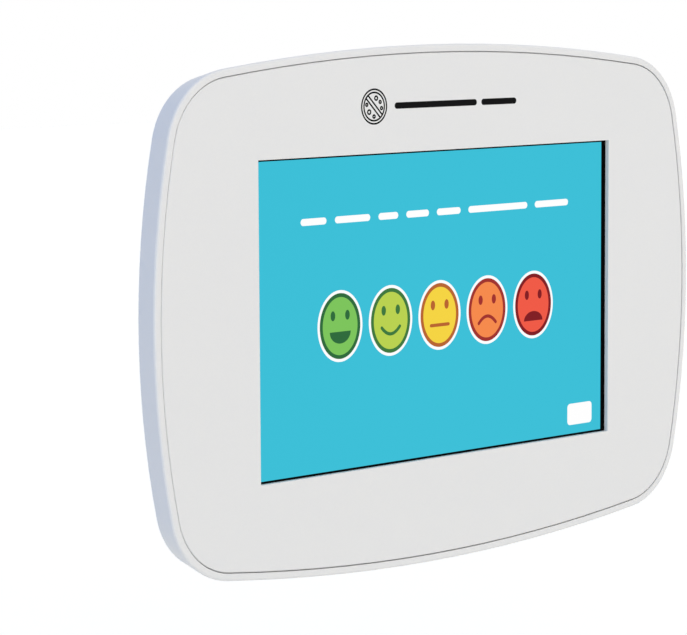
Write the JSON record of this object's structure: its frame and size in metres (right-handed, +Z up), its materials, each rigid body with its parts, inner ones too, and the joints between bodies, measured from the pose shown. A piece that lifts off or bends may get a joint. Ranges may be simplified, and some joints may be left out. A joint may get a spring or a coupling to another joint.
{
  "type": "touchscreen feedback terminal head",
  "caption": "Stand-mounted feedback terminal head: a tablet behind the window of a bulged white panel, in a drafted housing with a key-locked rear cover.",
  "frame": {"origin": "centre of the stand's four bolt holes, on the back plane", "axes": "+X to the right seen from the front, +Z up, the screen faces -Y"},
  "size_m": [0.3336, 0.03, 0.2304],
  "materials": {
    "panel_white": "satin",
    "housing_white": "satin",
    "cover_white": "fine matt grain",
    "tape_grey": "matt",
    "gasket_black": "matt",
    "screen_glass": "polished",
    "display_cell": "smooth",
    "backlight_tray": "satin",
    "frame_alloy": "cast",
    "tablet_shell": "fine matt grain",
    "battery_foil": "foil",
    "board_green": "solder mask",
    "can_tin": "tinned",
    "speaker_black": "moulded",
    "antenna_film": "film",
    "camera_black": "moulded",
    "flex_amber": "film",
    "screw_steel": "zinc plated",
    "switch_steel": "stamped",
    "port_steel": "stamped",
    "key_black": "moulded",
    "insert_brass": "turned",
    "grommet_rubber": "matt",
    "lock_chrome": "bright",
    "lock_nut_zinc": "zinc plated",
    "plug_zinc": "bright",
    "cam_steel": "zinc plated",
    "tray_steel": "zinc plated",
    "foam_black": "closed-cell foam"
  },
  "bodies": {
    "head": {"front_panel": "panel_white", "front_housing": "housing_white", "rear_cover": "cover_white", "panel_tape": "tape_grey", "window_gasket": "gasket_black", "cover_glass": "screen_glass", "display_panel": "display_cell", "backlight": "backlight_tray", "tablet_frame": "frame_alloy", "tablet_back": "tablet_shell", "battery_pack": "battery_foil", "main_board": "board_green", "shield_cans": "can_tin", "speaker_boxes": "speaker_black", "antenna_strips": "antenna_film", "camera_module": "camera_black", "display_flex": "flex_amber", "board_screws": "screw_steel", "key_switches": "switch_steel", "usb_port": "port_steel", "stand_inserts": "insert_brass", "cable_grommet": "grommet_rubber", "lock_body": "lock_chrome", "lock_nut": "lock_nut_zinc", "tablet_tray": "tray_steel", "tray_screws": "screw_steel", "foam_pads": "foam_black"},
    "lock_core": {"lock_plug": "plug_zinc", "lock_cam": "cam_steel", "cam_screw": "screw_steel"},
    "power_key_part": {"power_key": "key_black"},
    "volume_key_part": {"volume_key": "key_black"}
  },
  "joints": [
    {"name": "lock_turn", "type": "hinge", "parent": "head", "child": "lock_core", "pos_m": [0, -0.006, -0.076], "axis": [0, 1, 0], "range_deg": [0, 90]},
    {"name": "power_press", "type": "slide", "parent": "head", "child": "power_key_part", "axis": [0, 0, -1], "range_m": [0, 0.0003], "stiffness_N_per_m": 40},
    {"name": "volume_rock", "type": "hinge", "parent": "head", "child": "volume_key_part", "pos_m": [0.0325, -0.0218, 0.0759], "axis": [0, 1, 0], "range_deg": [-1.5, 1.5], "stiffness_Nm_per_rad": 0.001}
  ]
}
